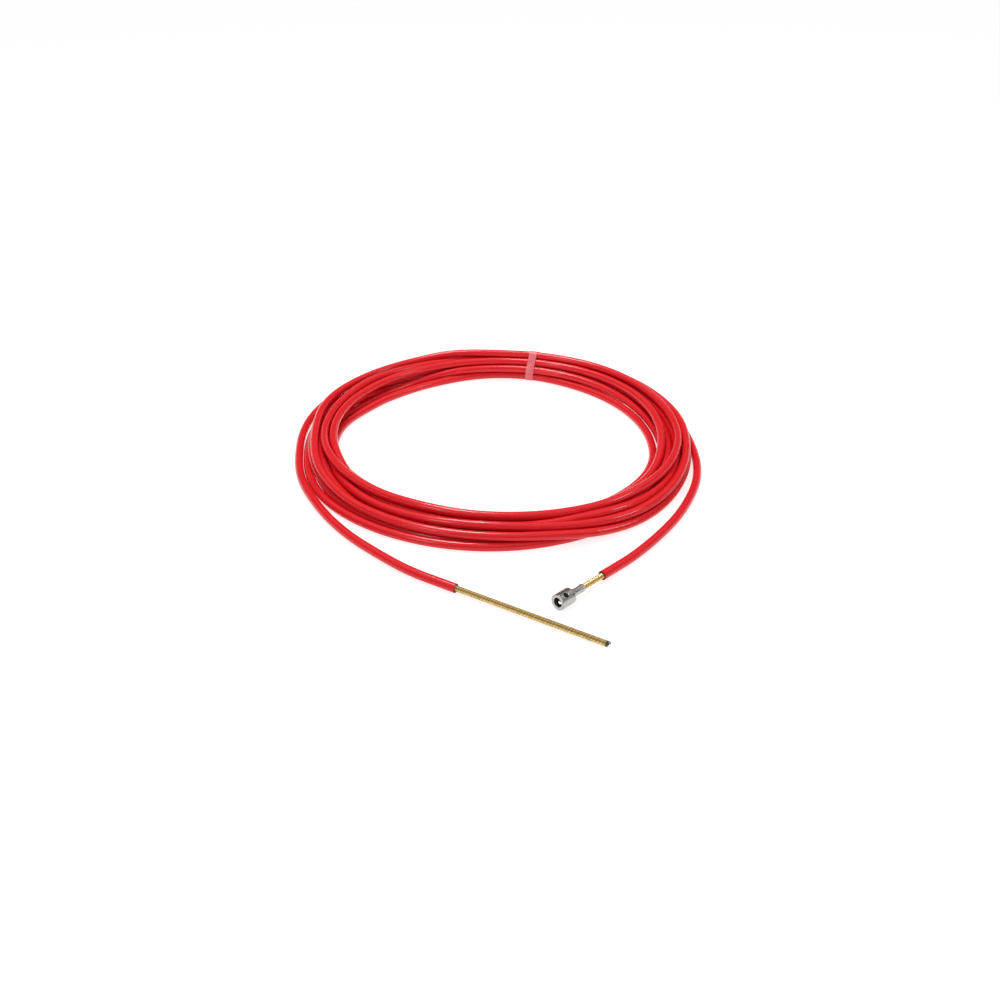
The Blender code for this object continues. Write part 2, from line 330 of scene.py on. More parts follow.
FLOAT, VECTOR = "NodeSocketFloat", "NodeSocketVector"
scuffs, scuffs_in, scuffs_out = new_group(
    "scuffs",
    [("Vector", VECTOR, None), ("Scale", FLOAT, 60.0), ("Cover", FLOAT, 0.5)],
    [("Mask", FLOAT), ("Height", FLOAT)],
)
broad = add_node(scuffs, "ShaderNodeTexNoise", {"Detail": 5.0, "Roughness": 0.62})
fine = add_node(scuffs, "ShaderNodeTexNoise", {"Detail": 3.0, "Roughness": 0.7})
finer = add_node(scuffs, "ShaderNodeMath", {1: 7.0}, operation="MULTIPLY")
threshold = add_node(scuffs, "ShaderNodeMapRange", {"To Min": 0.0, "To Max": 1.0})
threshold.interpolation_type = "SMOOTHSTEP"
upper = add_node(scuffs, "ShaderNodeMath", {1: 0.22}, operation="ADD")
both = add_node(scuffs, "ShaderNodeMath", operation="MULTIPLY")
for start, end in (
    (scuffs_in.outputs["Vector"], broad.inputs["Vector"]),
    (scuffs_in.outputs["Vector"], fine.inputs["Vector"]),
    (scuffs_in.outputs["Scale"], broad.inputs["Scale"]),
    (scuffs_in.outputs["Scale"], finer.inputs[0]),
    (finer.outputs[0], fine.inputs["Scale"]),
    (broad.outputs["Fac"], threshold.inputs["Value"]),
    (scuffs_in.outputs["Cover"], threshold.inputs["From Min"]),
    (scuffs_in.outputs["Cover"], upper.inputs[0]),
    (upper.outputs[0], threshold.inputs["From Max"]),
    (threshold.outputs["Result"], both.inputs[0]),
    (fine.outputs["Fac"], both.inputs[1]),
    (both.outputs[0], scuffs_out.inputs["Mask"]),
    (fine.outputs["Fac"], scuffs_out.inputs["Height"]),
):
    scuffs.links.new(start, end)

lines, lines_in, lines_out = new_group(
    "fine lines",
    [("Vector", VECTOR, None), ("Stretch", VECTOR, (1.0, 1.0, 1.0)), ("Scale", FLOAT, 40.0)],
    [("Value", FLOAT)],
)
stretched = add_node(lines, "ShaderNodeVectorMath", operation="MULTIPLY")
streaks = add_node(lines, "ShaderNodeTexNoise", {"Detail": 4.0, "Roughness": 0.55})
for start, end in (
    (lines_in.outputs["Vector"], stretched.inputs[0]),
    (lines_in.outputs["Stretch"], stretched.inputs[1]),
    (stretched.outputs[0], streaks.inputs["Vector"]),
    (lines_in.outputs["Scale"], streaks.inputs["Scale"]),
    (streaks.outputs["Fac"], lines_out.inputs["Value"]),
):
    lines.links.new(start, end)
print("groups", [group.name for group in bpy.data.node_groups])


# %% [markdown]
# ## Helpers for the finishes
#
# Every finish starts from the same shader, and most of them place a group on the object's own
# coordinates, blend two shades by its mask, and let the mask change the gloss. Each of these steps
# is a small helper, so that a finish below reads as a list of what is on the real surface.


# %% Helpers that start and vary a finish
def new_finish(name, colour, roughness, **constants):
    finish = bpy.data.materials.new(name)
    finish.use_nodes = True
    tree = finish.node_tree
    shader = tree.nodes["Principled BSDF"]
    shader.inputs["Base Color"].default_value = (*colour, 1)
    shader.inputs["Roughness"].default_value = roughness
    for socket, value in constants.items():
        shader.inputs[socket.replace("_", " ")].default_value = value
    return finish, tree, shader


def place_group(tree, group, coordinates, values):
    node = add_node(tree, "ShaderNodeGroup", node_tree=group)
    tree.links.new(coordinates, node.inputs["Vector"])
    for socket, value in values.items():
        node.inputs[socket].default_value = value
    return node


def on_object(tree, group, values):
    """A group on the object's own coordinates, so that its pattern moves with the piece."""
    coordinates = add_node(tree, "ShaderNodeTexCoord")
    return place_group(tree, group, coordinates.outputs["Object"], values)


def mix_colours(tree, mask, first, second):
    """A colour between two, by a mask. The first is a plain colour or a socket."""
    node = add_node(tree, "ShaderNodeMix", data_type="RGBA")
    tree.links.new(mask, node.inputs["Factor"])
    if isinstance(first, tuple):
        node.inputs["A"].default_value = (*first, 1)
    else:
        tree.links.new(first, node.inputs["A"])
    node.inputs["B"].default_value = (*second, 1)
    return node.outputs["Result"]


def ranged(tree, value, low, high, start=0.0, end=1.0):
    node = add_node(tree, "ShaderNodeMapRange",
                    {"From Min": start, "From Max": end, "To Min": low, "To Max": high})
    tree.links.new(value, node.inputs["Value"])
    return node.outputs["Result"]


def bumped(tree, shader, height, distance, strength):
    bump = add_node(tree, "ShaderNodeBump", {"Strength": strength, "Distance": distance})
    tree.links.new(height, bump.inputs["Height"])
    tree.links.new(bump.outputs["Normal"], shader.inputs["Normal"])


# %% [markdown]
# ## Red nylon
#
# The sheath is extruded nylon, dyed right through. Extrusion leaves very faint lines along the
# tube, so its pattern reads a UV map measured in metres: one way round the tube, the other along
# it. Coiling and dragging dull it in patches, where it scatters a little more light.

# %% The sheath's finish
red_nylon, tree, shader = new_finish(
    "red_nylon_sheath", (0.72, 0.010, 0.017), 0.25, IOR=1.53, Subsurface_Weight=0.06,
    Subsurface_Scale=0.004, Specular_IOR_Level=0.32)
shader.inputs["Subsurface Radius"].default_value = (1.0, 0.25, 0.2)
uv = add_node(tree, "ShaderNodeUVMap", uv_map="along_tube")
extruded = place_group(tree, lines, uv.outputs["UV"], {"Stretch": (1400, 3, 1), "Scale": 1.0})
handled = place_group(tree, scuffs, uv.outputs["UV"], {"Scale": 38.0, "Cover": 0.50})
shade = mix_colours(tree, ranged(tree, extruded.outputs["Value"], 0, 1, 0.35, 0.75),
                    (0.66, 0.008, 0.014), (0.74, 0.012, 0.019))
shade = mix_colours(
    tree, ranged(tree, handled.outputs["Mask"], 0, 0.55), shade, (0.74, 0.020, 0.027))
tree.links.new(shade, shader.inputs["Base Color"])
tree.links.new(ranged(tree, handled.outputs["Mask"], 0.19, 0.27), shader.inputs["Roughness"])
bumped(tree, shader, extruded.outputs["Value"], 0.00004, 0.35)

# Painted shade: the bore, the cut face and its rounded edge get a nearly black red, mottled a
# little.
painted_shade_nylon, tree, shader = new_finish("painted_shade_nylon", (0.16, 0.012, 0.012), 0.6)
shade_mottle = on_object(tree, scuffs, {"Scale": 400.0, "Cover": 0.42})
tree.links.new(
    mix_colours(tree, shade_mottle.outputs["Mask"], (0.20, 0.012, 0.012), (0.06, 0.012, 0.010)),
    shader.inputs["Base Color"])
bumped(tree, shader, shade_mottle.outputs["Height"], 0.00003, 0.4)
print("finishes", red_nylon.name, painted_shade_nylon.name)

# %% [markdown]
# ## The sheath
#
# The sheath is one tube from mouth to mouth, hollow where it can be seen into. A flat grid is
# wrapped round the line: its long side follows the line and its short side goes round it, and the
# two edges that meet are merged. The rows at each end turn over the cut face and go back down the
# bore, so the wall has its real thickness.

# %% Lay out the rows of the grid
BORE_R = 0.0035
BORE_DEPTHS = (0.038, 0.022, 0.008, 0.0012)
EDGE = 0.00018
ROUND = 24
CUT_ROWS = len(BORE_DEPTHS) + 4

tangents = np.gradient(sheath_line, axis=0)
tangents /= np.linalg.norm(tangents, axis=1)[:, None]


def end_rows(at, inward):
    """Rows of (centre, direction, radius) from deep in the bore to just outside the cut face."""
    steps = [(depth, BORE_R) for depth in BORE_DEPTHS]
    steps += [(EDGE, BORE_R), (0, BORE_R + EDGE), (0, SHEATH_R - EDGE), (EDGE, SHEATH_R)]
    centre, forward = sheath_line[at], tangents[at]
    return [(centre + inward * depth * forward, forward, radius) for depth, radius in steps]


rows = end_rows(0, 1)
rows += [(centre, forward, SHEATH_R)
         for centre, forward in zip(sheath_line[1:-1], tangents[1:-1])]
rows += end_rows(-1, -1)[::-1]
centres, forwards, radii = (np.array(column_of) for column_of in zip(*rows))
run = along(centres)

sides = np.cross((0, 0, 1), forwards)
sides /= np.linalg.norm(sides, axis=1)[:, None]
ups = np.cross(forwards, sides)
print(len(rows), "rows of", ROUND, "points round the tube")


def row_at(x):
    """The row that a place on the flat grid, from -1 to 1, belongs to. It may lie between two."""
    return (x + 1) / 2 * (len(rows) - 1)


# %% [markdown]
# The flat grid reaches from -1 to 1 both ways. Each point's place along it says which row it is,
# and its place across says how far round the tube it goes. The UV map is filled in first, while the
# grid is still flat, because there each side of the seam keeps its own value.

# %% Wrap the grid round the line
tube = bmesh.new()
bmesh.ops.create_grid(tube, x_segments=len(rows) - 1, y_segments=ROUND, size=1, calc_uvs=False)
across = tube.loops.layers.uv.new("along_tube")
for face in tube.faces:
    for loop in face.loops:
        x, y, _ = loop.vert.co
        loop[across].uv = ((y + 1) * pi * SHEATH_R, run[round(row_at(x))])
    # End rows, in the bore and over the cut face, take the second finish, which is painted shade.
    if not CUT_ROWS - 1 < row_at(face.calc_center_median().x) < len(rows) - CUT_ROWS:
        face.material_index = 1
for vert in tube.verts:
    x, y, _ = vert.co
    index, angle = round(row_at(x)), pi * y
    vert.co = centres[index] + radii[index] * (cos(angle) * sides[index] + sin(angle) * ups[index])
bmesh.ops.remove_doubles(tube, verts=tube.verts, dist=1e-6)
open_edges = [edge for edge in tube.edges if edge.is_boundary]
bmesh.ops.holes_fill(tube, edges=open_edges, sides=0)
bmesh.ops.recalc_face_normals(tube, faces=tube.faces)
print("tube", len(tube.faces), "faces,", len(open_edges), "open edges capped deep in the bore")

# %% [markdown]
# A finished mesh becomes one object. It stays at the origin with its place in the mesh, its corners
# are kept sharp by their angle, and it rides on the body of the solid model that it belongs to.


# %% Make the sheath one object
def finish_piece(name, mesh, finish, body, sharp=35):
    """Makes a finished bmesh one object, at the origin, riding on its body."""
    data = bpy.data.meshes.new(name)
    mesh.to_mesh(data)
    mesh.free()
    data.shade_smooth()
    data.set_sharp_from_angle(angle=radians(sharp))
    data.materials.append(finish)
    piece = bpy.data.objects.new(name, data)
    bpy.context.collection.objects.link(piece)
    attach(piece, body)
    print(name, len(data.polygons), "faces")
    return piece


nylon_sheath = finish_piece("nylon_sheath", tube, red_nylon, "sheath")
nylon_sheath.data.materials.append(painted_shade_nylon)
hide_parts("sheath_coil", "sheath_run_input", "sheath_run_output",
            "sheath_mouth_input", "sheath_mouth_output")

# %% [markdown]
# ## The strap
#
# One turn of thin pink tape holds the bundle. Pulled tight round round strands, it touches only
# the outermost ones and runs straight from each to the next. That outline comes from asking, for
# each direction round the section, which strand reaches out furthest that way.

# %% Pull the tape round the bundle
STRAP_WIDTH = 0.0105
STRAP_THICKNESS = 0.0004
STRAP_CLEAR = 0.0002
STRAP_LEAN = -0.0012
STRAP_MIDDLE_HEIGHT = 0.015
STRAP_POINTS = 96
STRAP_ROWS = 4

at_strap = radians(STRAP_ANGLE)
outward = np.array([cos(at_strap), sin(at_strap), 0])
sideways = np.array([-sin(at_strap), cos(at_strap), 0])
from_axis = sheath_line - np.array(COIL_AXIS)
crossing = []
for near, far in zip(from_axis, from_axis[1:]):
    before, after = near @ sideways, far @ sideways
    if before * after <= 0 and near @ outward > 0:
        crossing.append(near + (far - near) * before / (before - after))
section = np.array([(point @ outward, point[2]) for point in crossing])
print(len(section), "strands under the strap")


def tape_outline(offset):
    """(radius, height) round the strands, at a distance from their surface."""
    outline = []
    for turn in np.linspace(0, 2 * pi, STRAP_POINTS, endpoint=False):
        direction = np.array([cos(turn), sin(turn)])
        furthest = section[np.argmax(section @ direction)]
        outline.append(furthest + direction * (SHEATH_R + offset))
    return np.array(outline)


# %% [markdown]
# The tape's edge is the thin ring between two such outlines, bridged. Extruding that ring sideways
# in a few rows gives the tape its width. The outline leans a little, as the tape was wound.

# %% Bridge two outlines and draw them out to the tape's width
tape = bmesh.new()
loops = []
for offset in (STRAP_CLEAR, STRAP_CLEAR + STRAP_THICKNESS):
    ring = []
    for reach, height in tape_outline(offset):
        lean = STRAP_LEAN * (height - STRAP_MIDDLE_HEIGHT) / STRAP_MIDDLE_HEIGHT
        point = np.array(COIL_AXIS) + reach * outward + (lean - STRAP_WIDTH / 2) * sideways
        ring.append(tape.verts.new((point[0], point[1], max(height, FLOOR_CLEARANCE))))
    loops += [tape.edges.new(pair) for pair in zip(ring, ring[1:] + ring[:1])]
edge_face = bmesh.ops.bridge_loops(tape, edges=loops)["faces"]
for strap_row in range(STRAP_ROWS):
    grown = bmesh.ops.extrude_face_region(
        tape, geom=edge_face, use_keep_orig=strap_row == 0)["geom"]
    edge_face = [item for item in grown if isinstance(item, bmesh.types.BMFace)]
    moved = [item for item in grown if isinstance(item, bmesh.types.BMVert)]
    bmesh.ops.translate(tape, verts=moved, vec=Vector(sideways) * STRAP_WIDTH / STRAP_ROWS)
bmesh.ops.recalc_face_normals(tape, faces=tape.faces)
print("tape", len(tape.faces), "faces")

# %% [markdown]
# The tape is thin soft plastic. A little of the red shows through it, and it has gone pale where
# it was rubbed, so its finish blends two pinks by the scuffs and is dulled by them too.

# %% The tape's finish
pink_tape, tree, shader = new_finish(
    "pink_tape", (0.86, 0.15, 0.19), 0.30, Alpha=0.88, Subsurface_Weight=0.15,
    Subsurface_Scale=0.002)
worn = on_object(tree, scuffs, {"Scale": 140.0, "Cover": 0.45})
tape_shade = mix_colours(tree, ranged(tree, worn.outputs["Mask"], 0, 0.7),
                         (0.84, 0.14, 0.175), (0.93, 0.31, 0.34))
tree.links.new(tape_shade, shader.inputs["Base Color"])
tree.links.new(ranged(tree, worn.outputs["Mask"], 0.26, 0.45), shader.inputs["Roughness"])
bumped(tree, shader, worn.outputs["Height"], 0.00005, 0.25)

strap = finish_piece("strap", tape, pink_tape, "sheath")
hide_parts("tie_strap")

# %% [markdown]
# ## The wound shaft
#
# A flexible shaft is wire wound in layers, each layer the other hand from the one under it, so that
# turning it one way tightens them on each other. Several wires go round side by side, like a screw
# with several starts. A circle is spun round the axis and forward at once for each wire. The circle
# stands in a plane through the axis, so it is stretched by the wire's lean to keep the wire round.
# The wires are then cut off at both ends and their cut faces filled.

# %% Layers of wire
BARE_INPUT = 0.0305
BARE_OUTPUT = 0.167
HIDDEN_INPUT = 0.012
HIDDEN_OUTPUT = 0.030
SHANK_GRIP = 0.015
LEFT_HAND, RIGHT_HAND = -1, 1
# Each layer: radius at the wire's middle, wire diameter, wires side by side, hand.
LAYERS = {
    "inner_winding": (0.00106, 0.00060, 4, LEFT_HAND),
    "middle_winding": (0.00176, 0.00078, 5, RIGHT_HAND),
    "outer_winding": (0.00267, 0.00100, 6, LEFT_HAND),
}
CORE_R = 0.00072
SIDE_BY_SIDE = 1.01
TONE_STEP = 0.37


def wire_lean(layer):
    """How far a layer's wires lean from square across the shaft, for them to lie side by side."""
    radius, wire, starts, _ = LAYERS[layer]
    return asin(starts * wire * SIDE_BY_SIDE / (2 * pi * radius))


def wound_wires(layer, low, highs, steps, sides):
    """A layer of wires from one height to its own end height for each wire."""
    radius, wire, starts, hand = LAYERS[layer]
    lean = wire_lean(layer)
    pitch = 2 * pi * radius * tan(lean)
    tint = []
    whole = bmesh.new()
    for start in range(starts):
        high = highs[start % len(highs)]
        one = bmesh.new()
        upright = Matrix.Translation((radius, 0, low - wire)) @ Matrix.Rotation(pi / 2, 4, "X")
        stretch = Matrix.Diagonal((1, 1 / cos(lean), 1, 1))
        place_round = Matrix.Rotation(2 * pi * start / starts, 4, "Z")
        bmesh.ops.create_circle(
            one, segments=sides, radius=wire / 2, matrix=place_round @ upright @ stretch)
        count = int((high - low + 2 * wire) / pitch * steps) + 1
        bmesh.ops.spin(
            one, geom=one.verts[:] + one.edges[:], cent=(0, 0, 0), axis=(0, 0, hand),
            dvec=(0, 0, pitch / steps), angle=2 * pi * count / steps, steps=count)
        for height, upward in ((low, -1), (high, 1)):
            cut = bmesh.ops.bisect_plane(
                one, geom=one.verts[:] + one.edges[:] + one.faces[:], plane_co=(0, 0, height),
                plane_no=(0, 0, upward), clear_outer=True)["geom_cut"]
            rim = [item for item in cut if isinstance(item, bmesh.types.BMEdge)]
            bmesh.ops.holes_fill(one, edges=rim, sides=0)
        bmesh.ops.recalc_face_normals(one, faces=one.faces)
        part = bpy.data.meshes.new("wire")
        one.to_mesh(part)
        one.free()
        whole.from_mesh(part)
        tint += [start * TONE_STEP % 1.0] * len(part.vertices)
        bpy.data.meshes.remove(part)
    return whole, tint


print("wires lean", {layer: round(degrees(wire_lean(layer)), 1) for layer in LAYERS}, "degrees")

# %% [markdown]
# ## Brass-coated wire and cut steel
#
# The wire is drawn steel with a thin brass-coloured coat, a little oily. Each wire has a slightly
# different tone, which is kept on its points as an attribute. Oil lies in patches between the
# wires, where it is browner and less bright.

# %% The coated wire's finish
brass_wire, tree, shader = new_finish("brass_wire", (0.74, 0.55, 0.25), 0.32, Metallic=0.9)
tone = add_node(tree, "ShaderNodeAttribute", attribute_name="wire_tone")
oiled = on_object(tree, scuffs, {"Scale": 160.0, "Cover": 0.42})
wire_shade = mix_colours(tree, tone.outputs["Fac"], (0.62, 0.44, 0.16), (0.95, 0.71, 0.31))
wire_shade = mix_colours(
    tree, ranged(tree, oiled.outputs["Mask"], 0, 0.8), wire_shade, (0.40, 0.25, 0.08))
tree.links.new(wire_shade, shader.inputs["Base Color"])
tree.links.new(ranged(tree, oiled.outputs["Mask"], 0.24, 0.42), shader.inputs["Roughness"])
bumped(tree, shader, oiled.outputs["Height"], 0.00002, 0.3)
print("finish", brass_wire.name)

# %% [markdown]
# Where the shaft was cut, the bare steel is burnt dark and dull, with a few rubbed spots. The core
# wire has the same dark finish. Inside the coupler's bore and hole the same dark colour is painted
# shade.

# %% The cut steel's finish, also painted shade in the coupler's bore and hole
burn_and_shade_steel, tree, shader = new_finish("cut_steel_and_bore_shade", (0.09, 0.085, 0.08), 0.5, Metallic=0.8)
steel_mottle = on_object(tree, scuffs, {"Scale": 300.0, "Cover": 0.45})
tree.links.new(
    mix_colours(tree, steel_mottle.outputs["Mask"], (0.07, 0.065, 0.06), (0.26, 0.24, 0.22)),
    shader.inputs["Base Color"])
tree.links.new(ranged(tree, steel_mottle.outputs["Mask"], 0.42, 0.65), shader.inputs["Roughness"])
bumped(tree, shader, steel_mottle.outputs["Height"], 0.00003, 0.4)
print("finish", burn_and_shade_steel.name)

# %% [markdown]
# At the coupler's end the wires stop at the bottom of the shank's bore. At the other end they were
# cut off with a grinding disc: no two wires are quite level, one stands well out, and the last
# millimetre has lost its coat. Inside the sheath the wires go on for a little way, out of sight.

# %% Wind both ends of the shaft
CUT_END = [BARE_OUTPUT + extra * MM for extra in (0.3, -0.2, 0.1, 2.2, 0.5, 0.0)]
BORE_CLEARANCE = 0.0003
SHANK_FLOOR = BARE_INPUT + SHANK_GRIP - BORE_CLEARANCE
ENDS = {
    "input": (input_mouth, -HIDDEN_INPUT, [SHANK_FLOOR]),
    "output": (output_mouth, -HIDDEN_OUTPUT, CUT_END),
}
DARK_LENGTH = 0.0011
FINE_ROUND, COARSE_ROUND = (16, 8), (10, 6)

for end, (mouth, low, highs) in ENDS.items():
    for layer in LAYERS:
        steps, sides_round = FINE_ROUND if layer == "outer_winding" else COARSE_ROUND
        wires, tint = wound_wires(layer, low, highs, steps, sides_round)
        wires.transform(mouth)
        piece = finish_piece(f"{end}_{layer}_wires", wires, brass_wire, f"{end}_shaft")
        piece.data.attributes.new("wire_tone", "FLOAT", "POINT").data.foreach_set("value", tint)
        if end == "output":
            piece.data.materials.append(burn_and_shade_steel)
            top = mouth @ Vector((0, 0, BARE_OUTPUT - DARK_LENGTH))
            outwards = mouth.col[2].xyz
            for face in piece.data.polygons:
                if (face.center - top) @ outwards > 0:
                    face.material_index = 1
        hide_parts(f"{end}_{layer}")

# %% [markdown]
# The first layer was wound on a straight core wire, which is still inside. It shows as a dark dot
# in the middle of the cut end, where it stands a millimetre out, with its edges rounded.

# %% The core wire, straight down the middle
CORE_STANDS_OUT = 0.0012
CORE_EDGE = 0.00012

for end, (mouth, low, highs) in ENDS.items():
    high = min(highs) + (CORE_STANDS_OUT if end == "output" else 0)
    core = bmesh.new()
    bmesh.ops.create_cone(
        core, cap_ends=True, segments=20, radius1=CORE_R, radius2=CORE_R, depth=high - low,
        matrix=Matrix.Translation((0, 0, (high + low) / 2)))
    rims = [edge for edge in core.edges if edge.calc_face_angle(0) > 1]
    bmesh.ops.bevel(core, geom=rims, offset=CORE_EDGE, offset_type="OFFSET", affect="EDGES",
                    segments=2, profile=0.5, material=-1)
    core.transform(mouth)
    piece = finish_piece(f"{end}_core", core, burn_and_shade_steel, f"{end}_core")
    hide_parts(f"{end}_core_wire")

# %% [markdown]
# ## The drive coupler
#
# The coupler is turned from steel bar: a barrel with a bore for the machine's stub, a short neck,
# and a thin shank with a bore for the shaft. A hole is drilled right across the barrel for a pin,
# and its edges are broken with a countersink. The shank is then crimped in a six-sided die. The
# profile is drawn once and spun, its hard corners are bevelled, and the flats are pressed in.

# %% Turn the coupler
SHANK_LENGTH = 0.0150
SHANK_R = 0.0042
SHANK_FLAT_R = 0.0039
SHANK_BORE_R = 0.0035
NECK_LENGTH = 0.0045
NECK_R = 0.0050
BARREL_LENGTH = 0.0180
BARREL_R = 0.0085
BARREL_BORE_R = 0.0050
BARREL_BORE_DEPTH = 0.0130
DRILL_POINT = 0.0020
CROSS_HOLE_R = 0.0027
CROSS_HOLE_FROM_FACE = 0.0077
EDGE_BREAK = 0.0003
BARREL_EDGE = 0.0006
PRESS_FROM_END, PRESS_FROM_NECK = 0.0020, 0.0015
TURNED_STEPS = 72

shank_end = BARE_INPUT
neck = shank_end + SHANK_LENGTH
shoulder = neck + NECK_LENGTH
face_at = shoulder + BARREL_LENGTH
profile = [
    (0, shank_end + SHANK_GRIP), (SHANK_BORE_R, shank_end + SHANK_GRIP),
    (SHANK_BORE_R, shank_end), (SHANK_R - 0.0002, shank_end),
    (SHANK_R, shank_end + 0.0004), (SHANK_R, shank_end + 0.0015),
    (SHANK_R, shank_end + 0.0024), (SHANK_R, (shank_end + neck) / 2),
    (SHANK_R, neck - 0.0020), (SHANK_R, neck - 0.0010), (SHANK_R, neck),
    (NECK_R - EDGE_BREAK, neck), (NECK_R, neck + EDGE_BREAK), (NECK_R, shoulder),
    (BARREL_R, shoulder), (BARREL_R, face_at),
    (BARREL_BORE_R + EDGE_BREAK, face_at), (BARREL_BORE_R, face_at - EDGE_BREAK),
    (BARREL_BORE_R, face_at - BARREL_BORE_DEPTH),
    (0, face_at - BARREL_BORE_DEPTH - DRILL_POINT),
]
coupler_mesh = bmesh.new()
corners = [coupler_mesh.verts.new((radius, 0, height)) for radius, height in profile]
outline = [coupler_mesh.edges.new(pair) for pair in zip(corners, corners[1:])]
bmesh.ops.spin(
    coupler_mesh, geom=corners + outline, cent=(0, 0, 0), axis=(0, 0, 1), angle=2 * pi,
    steps=TURNED_STEPS, use_merge=True)
bmesh.ops.remove_doubles(coupler_mesh, verts=coupler_mesh.verts, dist=1e-6)
bmesh.ops.recalc_face_normals(coupler_mesh, faces=coupler_mesh.faces)
print("turned blank", len(coupler_mesh.faces), "faces")

# %% [markdown]
# The barrel's two outer corners were broken on the lathe, so their edges are bevelled. The crimping
# die has pressed six flats into the shank: each point that lies outside a flat is moved in to it,
# and the shank stays round near its end and near the neck, where the die didn't reach.


# %% Break the barrel's corners and crimp the shank
def on_barrel_rim(edge):
    """An outer corner of the barrel, on its shoulder or its end face."""
    return all(abs(hypot(vert.co.x, vert.co.y) - BARREL_R) < 1e-5 for vert in edge.verts) \
        and abs(edge.verts[0].co.z - edge.verts[1].co.z) < 1e-6


rims = [edge for edge in coupler_mesh.edges if on_barrel_rim(edge)]
bmesh.ops.bevel(coupler_mesh, geom=rims, offset=BARREL_EDGE, offset_type="OFFSET",
                affect="EDGES", segments=3, profile=0.5, material=-1)

outside_shank = (SHANK_BORE_R + SHANK_R) / 2
for vert in coupler_mesh.verts:
    radius = hypot(vert.co.x, vert.co.y)
    pressed_here = shank_end + PRESS_FROM_END < vert.co.z < neck - PRESS_FROM_NECK
    if pressed_here and radius > outside_shank:
        angle = atan2(vert.co.y, vert.co.x)
        from_flat = (angle + pi / 6) % (pi / 3) - pi / 6
        pressed = min(1.0, SHANK_FLAT_R / cos(from_flat) / radius)
        vert.co.x *= pressed
        vert.co.y *= pressed
print("coupler", len(coupler_mesh.faces), "faces before drilling")

# %% [markdown]
# Turned steel is bright and shows the tool's fine rings, which run round the axis. So the rings
# are stretched along an attribute that keeps each point's place before the coupler was put at its
# angle. Small dents and rubbed spots are darker. Inside the bore and the hole a dark colour is
# painted as shade.

# %% The turned steel's finish
machined, tree, shader = new_finish(
    "machined_steel", (0.42, 0.41, 0.395), 0.18, Metallic=1.0, Anisotropic=0.2)
turned_in = add_node(tree, "ShaderNodeAttribute", attribute_name="from_face")
ringed = place_group(tree, lines, turned_in.outputs["Vector"],
                     {"Stretch": (60, 60, 9000), "Scale": 1.0})
marked = on_object(tree, scuffs, {"Scale": 260.0, "Cover": 0.47})
steel_shade = mix_colours(tree, ranged(tree, marked.outputs["Mask"], 0, 0.7),
                          (0.46, 0.45, 0.43), (0.17, 0.16, 0.15))
tree.links.new(steel_shade, shader.inputs["Base Color"])
tree.links.new(ranged(tree, ringed.outputs["Value"], 0.11, 0.24, 0.3, 0.7),
               shader.inputs["Roughness"])
bumped(tree, shader, ringed.outputs["Value"], 0.00002, 0.35)
print("finish", machined.name)

# %% [markdown]
# The drill is a turned shape too: a rod that widens at both ends, so that one cut makes the hole
# and its two countersunk edges. A Boolean takes it out of the blank, and both are then removed.


# %% Drill it across
COUNTERSINK = 0.0004
COUNTERSINK_SHALLOW, COUNTERSINK_DEEP = 0.0001, 0.0006
DRILL_STEPS = 48


def scene_object(name, mesh):
    data = bpy.data.meshes.new(name)
    mesh.to_mesh(data)
    mesh.free()
    made = bpy.data.objects.new(name, data)
    bpy.context.collection.objects.link(made)
    return made


drill = bmesh.new()
reach = 2 * BARREL_R
half_drill = [
    (CROSS_HOLE_R, BARREL_R - COUNTERSINK_DEEP),
    (CROSS_HOLE_R + COUNTERSINK, BARREL_R - COUNTERSINK_SHALLOW),
    (CROSS_HOLE_R * 2, reach), (0, reach),
]
drill_profile = [(radius, -height) for radius, height in reversed(half_drill)] + half_drill
corners = [drill.verts.new((radius, 0, height)) for radius, height in drill_profile]
outline = [drill.edges.new(pair) for pair in zip(corners, corners[1:])]
bmesh.ops.spin(drill, geom=corners + outline, cent=(0, 0, 0), axis=(0, 0, 1), angle=2 * pi,
               steps=DRILL_STEPS, use_merge=True)
bmesh.ops.remove_doubles(drill, verts=drill.verts, dist=1e-6)
bmesh.ops.recalc_face_normals(drill, faces=drill.faces)
drill.transform(Matrix.Translation((0, 0, face_at - CROSS_HOLE_FROM_FACE))
                @ Matrix.Rotation(pi / 2, 4, "Y"))
blank, drill_piece = scene_object("coupler_blank", coupler_mesh), scene_object("drill", drill)
drilling = blank.modifiers.new("cross_hole", "BOOLEAN")
drilling.solver = "EXACT"
drilling.operation = "DIFFERENCE"
drilling.object = drill_piece
bpy.context.view_layer.update()
drilled = bpy.data.meshes.new_from_object(
    blank.evaluated_get(bpy.context.evaluated_depsgraph_get()))
for spare in (blank, drill_piece):
    bpy.data.objects.remove(spare)
print("drilled", len(drilled.polygons), "faces")

# %% [markdown]
# Each point's place is kept before the coupler is moved to the mouth, for the tool rings of its
# finish. Then every face is looked at from the mouth again: those that lie in the bore or in the
# hole get the dark finish, as painted shade in these hollows.

# %% Put the coupler on the shaft's end
INSIDE = 0.00005

steel = bmesh.new()
steel.from_mesh(drilled)
local = [vert.co.copy() for vert in steel.verts]
steel.transform(input_mouth)
coupler = finish_piece("coupler", steel, machined, "input_shaft", sharp=14)
